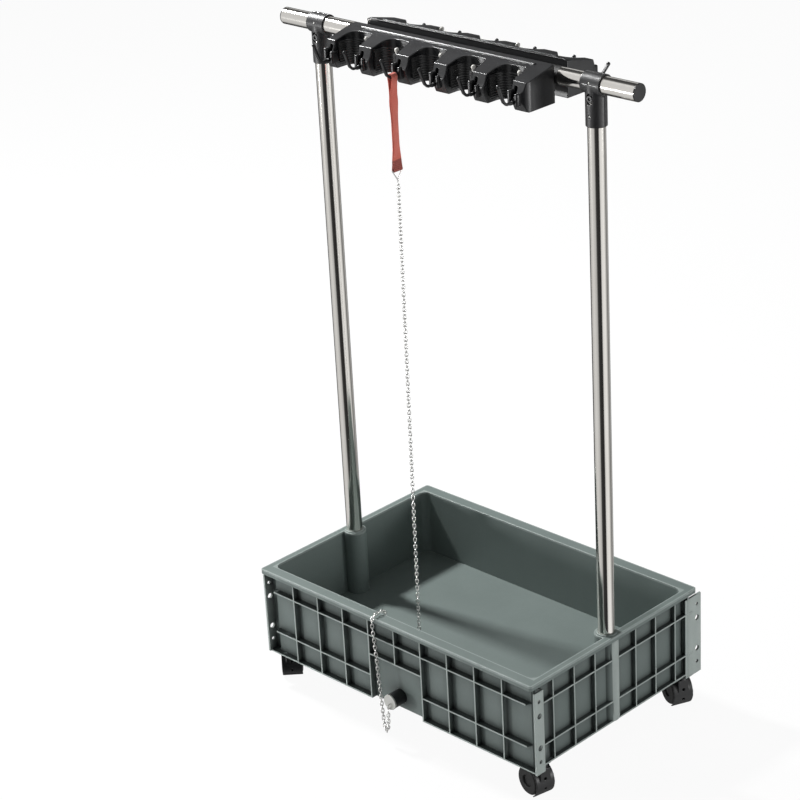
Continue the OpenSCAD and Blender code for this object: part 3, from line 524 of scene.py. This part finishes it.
# %% A finish made of sums
class Finish:
    """A material whose nodes are written as sums; a tree that exists already can be given."""

    def __init__(self, name, tree=None):
        self.material = None if tree else bpy.data.materials.new(name)
        if self.material:
            self.material.use_nodes = True
        self.tree = tree or self.material.node_tree
        self.tree.nodes.clear()

    def add(self, kind, settings=None, sockets=None, out=0):
        """Adds any node, sets it up, fills or links its sockets, and gives one of its outputs."""
        node = self.tree.nodes.new(kind)
        for field, value in (settings or {}).items():
            if field == "stops":
                ramp = node.color_ramp.elements
                while len(ramp) < len(value):
                    ramp.new(0.5)
                for element, (at, colour) in zip(ramp, value):
                    element.position, element.color = at, colour
            else:
                setattr(node, field, value)
        for key, value in (sockets or {}).items():
            if isinstance(value, Wire):
                self.tree.links.new(value.socket, node.inputs[key])
            else:
                node.inputs[key].default_value = value
        return Wire(self, node.outputs[out])

    def place(self, stretch=(1, 1, 1)):
        here = self.add("ShaderNodeTexCoord", out="Object")
        return self.add("ShaderNodeMapping", {}, {"Vector": here, "Scale": stretch})

    def split(self, vector=None):
        """The x, y and z of a vector, or of the place on the object."""
        vector = vector or self.add("ShaderNodeTexCoord", out="Object")
        apart = self.add("ShaderNodeSeparateXYZ", {}, {"Vector": vector}).socket.node
        return [Wire(self, s) for s in apart.outputs]

    def noise(self, scale, detail=3, stretch=(1, 1, 1)):
        sockets = {"Vector": self.place(stretch), "Scale": scale, "Detail": detail}
        return self.add("ShaderNodeTexNoise", {}, sockets)

    def mix(self, share, a, b):
        return self.add("ShaderNodeMix", {"data_type": "RGBA"}, {0: share, 6: a, 7: b}, out=2)

    def bump(self, height, strength, distance):
        sockets = {"Height": height, "Strength": strength, "Distance": distance}
        return self.add("ShaderNodeBump", {}, sockets)

    def rays(self):
        """Whether a ray comes from the camera, and whether it was mirrored."""
        path = self.add("ShaderNodeLightPath").socket.node
        return [Wire(self, path.outputs[k]) for k in ("Is Camera Ray", "Is Glossy Ray")]

    def surface(self, **sockets):
        named = {key.replace("_", " "): value for key, value in sockets.items()}
        self.end(self.add("ShaderNodeBsdfPrincipled", {}, named))
        return self.material

    def end(self, shader, kind="ShaderNodeOutputMaterial"):
        self.tree.links.new(shader.socket, self.tree.nodes.new(kind).inputs["Surface"])


def tone(red, green, blue):
    """A colour from its 0 to 255 values on a screen."""
    def linear(v):
        v /= 255
        return v / 12.92 if v <= 0.04045 else ((v + 0.055) / 1.055) ** 2.4
    return (linear(red), linear(green), linear(blue), 1)


# %% [markdown]
# ## Tub finish
# The tub is grey plastic with a fine grain. The edges of its ribs and rim get a painted highlight, and
# the nooks between the ribs on its outside get painted shade. A painted map could show this, but the
# edges are at known places, so masks from the place on the tub find them, a soft noise breaks the
# highlight up and varies the gloss, and how much light reaches a point finds the nooks that are
# darkened.

# %% Tub finish
# Heights of the rim's underside and of its top band, and the places of edges from the tub's middle.
RIM_UNDER, RIM_BAND = 0.2155, 0.2215
RIB_ENDS_X, RIB_ENDS_Y = 0.3072, 0.1989
RIM_OUT_Y, RIM_IN_X, RIM_IN_Y = 0.2045, 0.2995, 0.1885
NOOK_DEPTH = 0.035
f = Finish("tub_plastic")
x, y, z = f.split()
patches, grain, scuffs_and_highlight = f.noise(7), f.noise(420, detail=2), f.noise(60, detail=5, stretch=(1, 1, 0.25))
nooks = f.add("ShaderNodeAmbientOcclusion", {"samples": 8}, {"Distance": NOOK_DEPTH}, out="AO")
far_x, far_y = abs(x), abs(y)
rib_edges = (z < RIM_UNDER) * ((far_x > RIB_ENDS_X) | (far_y > RIB_ENDS_Y))
rim_inner = (far_y < RIM_IN_Y) * (far_x < RIM_IN_X)
rim_edges = (z > RIM_BAND) * ((far_x > RIB_ENDS_X) | (far_y > RIM_OUT_Y) | rim_inner)
outside = (z < RIM_UNDER) * ((far_x > RIM_IN_X) | (far_y > RIM_IN_Y))
plain = f.mix(patches, tone(101, 112, 109), tone(117, 128, 125))
# Painted highlight: the edges of the ribs and of the rim, and the tops of the post sockets, are
# lightened as if they caught the light, broken up by a soft noise.
painted_edge_highlight = f.mix((rib_edges | 0.5 * rim_edges) * (0.55 + 0.4 * scuffs_and_highlight), plain, tone(176, 185, 181))
# Painted shade: on the outside walls, the nooks between the ribs and under the rim are darkened where
# little light reaches them.
painted_nook_shade = f.mix(outside * (1 - nooks * nooks), painted_edge_highlight, tone(27, 31, 30))
tub_plastic = f.surface(
    Base_Color=f.mix(0.22 * grain, painted_nook_shade, tone(70, 78, 76)), Roughness=0.36 + 0.22 * scuffs_and_highlight,
    Normal=f.bump(grain + 3 * patches, strength=0.12, distance=0.0006), Specular_IOR_Level=0.4)
print("nodes in the tub's finish:", len(f.tree.nodes))

# %% [markdown]
# ## Black mouldings
# Rails, hooks and wheels are black plastic with a fine grain and faint smears from use. One flat black
# would look like a hole in the picture, so a soft noise mixes two close blacks and moves the roughness
# with them, which breaks up the gloss. The walls of the rails' slots have level ridges. They are too
# fine to model, so a sine of the height goes into the bump.

# %% Black mouldings
f = Finish("black_plastic")
grain, smears = f.noise(1400, detail=2), f.noise(35, detail=4)
black_plastic = f.surface(
    Base_Color=f.mix(smears, tone(12, 13, 14), tone(23, 24, 26)), Roughness=0.3 + 0.16 * smears,
    Normal=f.bump(grain, strength=0.10, distance=0.0003), Specular_IOR_Level=0.5)

SLOT_LEVEL, SLOT_Y, SLOT_X = (-0.034, 0.003), (0.0362, 0.068), 0.203
RIDGE_RATE = 1571  # radians per metre, for a ridge every 4 mm
f = Finish("rail_plastic")
x, y, z = f.split()
grain, smears = f.noise(1300, detail=2), f.noise(30, detail=4)
level, far_y = z - RAIL_Z, abs(y)
slot_depth = (far_y > SLOT_Y[0]) * (far_y < SLOT_Y[1]) * (abs(x - RAIL_X) < SLOT_X)
in_slot = (level > SLOT_LEVEL[0]) * (level < SLOT_LEVEL[1]) * slot_depth
ridges = (level * RIDGE_RATE).sine()
rail_plastic = f.surface(
    Base_Color=f.mix(smears, tone(13, 14, 16), tone(25, 26, 29)), Roughness=0.27 + 0.15 * smears,
    Normal=f.bump(in_slot * ridges + 0.12 * grain, strength=0.5, distance=0.0009),
    Specular_IOR_Level=0.62)
print("nodes in the rails' finish:", len(f.tree.nodes))

f = Finish("wheel_black")
grain, smears = f.noise(1100, detail=2), f.noise(55, detail=4)
wheel_black = f.surface(
    Base_Color=f.mix(smears, tone(13, 13, 14), tone(27, 27, 27)), Roughness=0.42 + 0.2 * smears,
    Normal=f.bump(grain, strength=0.12, distance=0.0004), Specular_IOR_Level=0.3)

# %% [markdown]
# ## Rubber
# The pads and grippers are soft rubber, which is rougher than the plastic around it. A gripper has a
# pale ball on top. Both are one solid, so a mask by height changes the colour from rubber to ball, and
# the gripper's ribs are a wave in the bump below it.

# %% Rubber
f = Finish("rubber")
grain, smears = f.noise(1600, detail=2), f.noise(80, detail=3)
rubber = f.surface(
    Base_Color=f.mix(smears, tone(19, 19, 20), tone(33, 33, 34)), Roughness=0.5 + 0.2 * smears,
    Normal=f.bump(grain, strength=0.2, distance=0.0005))

BALL_FROM_Z = RAIL_Z + 0.0022
f = Finish("gripper_rubber")
ball = f.split()[2] > BALL_FROM_Z
grain, smears = f.noise(1600, detail=2), f.noise(80, detail=3)
ribs = f.add("ShaderNodeTexWave", {"bands_direction": "Z"},
             {"Vector": f.place(), "Scale": 90.0, "Distortion": 0.2})
dark = f.mix(smears, tone(22, 22, 23), tone(40, 40, 41))
gripper_rubber = f.surface(
    Base_Color=f.mix(ball, dark, tone(206, 204, 198)), Roughness=0.45 - 0.15 * ball,
    Normal=f.bump(ribs * (1 - ball) + 0.2 * grain, strength=0.5, distance=0.0012))
print("nodes in the grippers' finish:", len(f.tree.nodes))

# %% [markdown]
# ## Metals
# The posts and the cross tube are drawn stainless tube, nearly a mirror with faint lines along it. The
# bolts and rivets are zinc plated, the clamps have a black powder coat, and the chain is bright steel
# wire. A mirror shows its surroundings, so these finishes stay plain and the studio walls do the rest.
# Stretched noise draws the lines of the tube. Between the rails a mask makes the tube black, rough and
# not metallic, as painted shade for the shaded gap there.

# %% Stainless tube
SHADED_GAP_LOW_Z, SHADED_GAP_HALF = 1.12, 0.2125
f = Finish("stainless")
x, _, z = f.split()
drawn_lines, haze = f.noise(220, detail=3, stretch=(1, 1, 0.02)), f.noise(12, detail=3)
# Painted shade: the tube between the rails is made black, rough and not metallic.
painted_gap_shade = (z > SHADED_GAP_LOW_Z) * (abs(x - RAIL_X) < SHADED_GAP_HALF)
steel = f.mix(haze, tone(226, 222, 215), tone(238, 236, 232))
stainless = f.surface(
    Base_Color=f.mix(painted_gap_shade, steel, tone(10, 10, 11)), Metallic=1 - painted_gap_shade,
    Roughness=0.09 + 0.07 * drawn_lines + 0.5 * painted_gap_shade,
    Normal=f.bump(drawn_lines, strength=0.03, distance=0.0002))
print("nodes in the tubes' finish:", len(f.tree.nodes))

# %% Zinc, powder coat and chain wire
f = Finish("zinc")
spangle, haze = f.noise(500, detail=2), f.noise(60, detail=3)
zinc = f.surface(
    Base_Color=f.mix(haze, tone(188, 188, 184), tone(222, 222, 218)), Metallic=0.9,
    Roughness=0.26 + 0.16 * spangle, Normal=f.bump(spangle, strength=0.06, distance=0.0003))

f = Finish("black_metal")
powder, smears = f.noise(650, detail=3), f.noise(40, detail=3)
black_metal = f.surface(
    Base_Color=f.mix(smears, tone(30, 30, 31), tone(46, 46, 48)), Roughness=0.3 + 0.2 * powder,
    Normal=f.bump(powder, strength=0.35, distance=0.0006), Coat_Weight=0.25 * smears)
print("nodes in the clamps' finish:", len(f.tree.nodes))

f = Finish("chain_steel")
haze, pits = f.noise(90, detail=3), f.noise(900, detail=2)
chain_steel = f.surface(
    Base_Color=f.mix(haze, tone(206, 205, 202), tone(240, 240, 238)), Metallic=1.0,
    Roughness=0.2 + 0.16 * pits)

# %% [markdown]
# ## Strap finish
# The strap is woven in a plain weave: cords run along it and a thread crosses over and under them. The
# weave has to follow the band round its bends, so it reads the band's own map, which counts in
# millimetres. One sine makes the cords and another the crossings, shifted by half a turn on every other
# cord. The lower end is sewn and darker, with rows of stitches.

# %% Strap finish
CORD_RATE, PICK_RATE, STITCH_RATE = 3.6, 4.4, 2.1  # radians per millimetre
SEWN_BELOW_MM, STITCH_TOP = -155, 0.55
f = Finish("strap_webbing")
u, v, _ = f.split(f.add("ShaderNodeUVMap", {"uv_map": "weave"}))
cords = (u * CORD_RATE).sine()
picks = (v * PICK_RATE + math.pi * (cords > 0)).sine()
weave = 0.5 + 0.25 * cords + 0.25 * picks
sewn = v < SEWN_BELOW_MM
stitch = sewn * ((v * STITCH_RATE).sine() > STITCH_TOP)
fading = f.noise(45, detail=4)
red = f.mix(0.35 * weave + 0.5 * fading, tone(206, 82, 68), tone(238, 138, 118))
sewn_red = f.mix(0.55 * sewn + 0.25 * stitch, red, tone(84, 22, 22))
strap_webbing = f.surface(
    Base_Color=sewn_red, Roughness=0.78 + 0.12 * weave,
    Normal=f.bump(weave, strength=0.6, distance=0.0006), Sheen_Weight=0.25, Sheen_Roughness=0.5)
print("nodes in the strap's finish:", len(f.tree.nodes))

# %% [markdown]
# ## Put the finishes on
# Each solid and each new piece takes the finish of its material slot. Rails and grippers share a
# slot with other pieces but have ridges or a ball of their own, so they are picked out by name.

# %% Put the finishes on
finishes = {
    "tub_plastic": tub_plastic, "black_plastic": black_plastic, "wheel_black": wheel_black,
    "rubber": rubber, "stainless": stainless, "zinc": zinc, "black_metal": black_metal,
    "strap_webbing": strap_webbing, "chain_steel": chain_steel,
}
for name, solid in nodes.items():
    solid.data.materials.clear()
    own = gripper_rubber if name.startswith("gripper_") else finishes[slot_of_node[name]]
    solid.data.materials.append(own)
for piece in [chain, strap, *rounded.values()]:
    piece.data.materials.clear()
    own = rail_plastic if piece.name.startswith("rail_") else finishes[piece["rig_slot"]]
    piece.data.materials.append(own)
print("finishes by slot:", len(finishes))

# %% [markdown]
# ## Floor
# The object stands on a plain white floor in soft studio light. For the camera the floor is nearly
# white paper that still takes the object's shadow: a small share of it is lit by the lamps, and the
# rest glows. Mirrored rays pass through it, because a polished tube would otherwise show a white floor
# where the real one shows dark stripes.

# %% Floor
FLOOR_HALF, PAPER, GLOW_SHARE = 8, 0.85, 0.94
bm = bmesh.new()
bmesh.ops.create_grid(bm, x_segments=1, y_segments=1, size=FLOOR_HALF)
floor_mesh = bpy.data.meshes.new("floor")
bm.to_mesh(floor_mesh)
bm.free()
floor = bpy.data.objects.new("floor", floor_mesh)
bpy.context.scene.collection.objects.link(floor)

f = Finish("floor")
to_camera, mirrored = f.rays()
paper = f.add("ShaderNodeBsdfDiffuse", {}, {"Color": (PAPER, PAPER, PAPER, 1)})
glow = f.add("ShaderNodeEmission", {}, {"Color": (1, 1, 1, 1), "Strength": 1.0})
opened = f.add("ShaderNodeBsdfTransparent")
white = f.add("ShaderNodeMixShader", {}, {0: GLOW_SHARE * to_camera, 1: paper, 2: glow})
f.end(f.add("ShaderNodeMixShader", {}, {0: mirrored, 1: white, 2: opened}))
floor.data.materials.append(f.material)
print("floor side:", 2 * FLOOR_HALF)

# %% [markdown]
# ## Studio walls
# What a polished tube mirrors is a studio: pale screens with dark gaps between them, which give steel
# its long stripes. The walls need no objects. An upright tube shows only the bearing of what it
# mirrors, so the world gives each bearing its own brightness from one ramp, for mirrored rays alone.

# %% Studio walls
AMBIENT = (0.25, 0.255, 0.26, 1)
# Each screen or gap: where it is on the way round, from 0 to 1, and how bright it is.
SCREENS = [
    (0.0, 0.05), (0.11, 0.06), (0.16, 0.60), (0.28, 0.75), (0.38, 0.55), (0.42, 0.04), (0.54, 0.02),
    (0.57, 0.85), (0.68, 0.95), (0.74, 0.30), (0.81, 0.20), (0.86, 0.60), (0.92, 0.10), (1.0, 0.05),
]
world = bpy.data.worlds.new("studio")
bpy.context.scene.world = world
world.use_nodes = True
f = Finish("studio", world.node_tree)
to_camera, mirrored = f.rays()
outward = f.add("ShaderNodeTexCoord", out="Generated")
ahead = f.add("ShaderNodeVectorRotate", {"rotation_type": "Z_AXIS"},
              {"Vector": outward, "Angle": math.pi / 2 - AZIMUTH})
x, y, _ = f.split(ahead)
bearing = y.sum("ARCTAN2", y, x)
screens = f.add("ShaderNodeValToRGB", {"stops": [(at, (v, v, v, 1)) for at, v in SCREENS]},
                {"Fac": bearing * (0.5 / math.pi) + 0.5})
light = f.mix(mirrored, AMBIENT, screens)
light = f.mix(to_camera, light, (1, 1, 1, 1))
f.end(f.add("ShaderNodeBackground", {}, {"Color": light, "Strength": 1.0}), "ShaderNodeOutputWorld")
print("screens and gaps:", len(SCREENS))

# %% [markdown]
# ## Lamps
# Four square lamps light the object. The key lamp is small and high beyond the left end, and gives the
# shadow in the tub. A low lamp in front and one beyond the right end light the two walls that the
# camera sees, and a faint one behind draws the upper edges. Larger lamps would be softer, but then the
# ribs would lose their shadows.


# %% Lamps
def soft_lamp(name, at, aim, size, power):
    """Makes a square lamp at a place, turned towards another."""
    lamp = bpy.data.objects.new(name, bpy.data.lights.new(name, "AREA"))
    lamp.data.shape, lamp.data.size, lamp.data.energy = "SQUARE", size, power
    lamp.location = at
    lamp.rotation_mode = "QUATERNION"
    lamp.rotation_quaternion = (Vector(aim) - Vector(at)).to_track_quat("-Z", "Y")
    bpy.context.scene.collection.objects.link(lamp)
    print(name, "size:", size, "power:", power)


soft_lamp("key_lamp", at=(-2.4, -0.22, 3.1), aim=(0, 0, 0.3), size=0.34, power=192)
soft_lamp("front_lamp", at=(-2.4, -3.0, 0.35), aim=(0, 0, 0.2), size=0.4, power=54)
soft_lamp("end_lamp", at=(3.5, 1.5, 0.6), aim=(0, 0, 0.2), size=0.8, power=48)
soft_lamp("rim_lamp", at=(-2.9, 2.9, 2.9), aim=(0, 0, 0.9), size=1.6, power=4)
bpy.context.scene.view_settings.view_transform = "Standard"
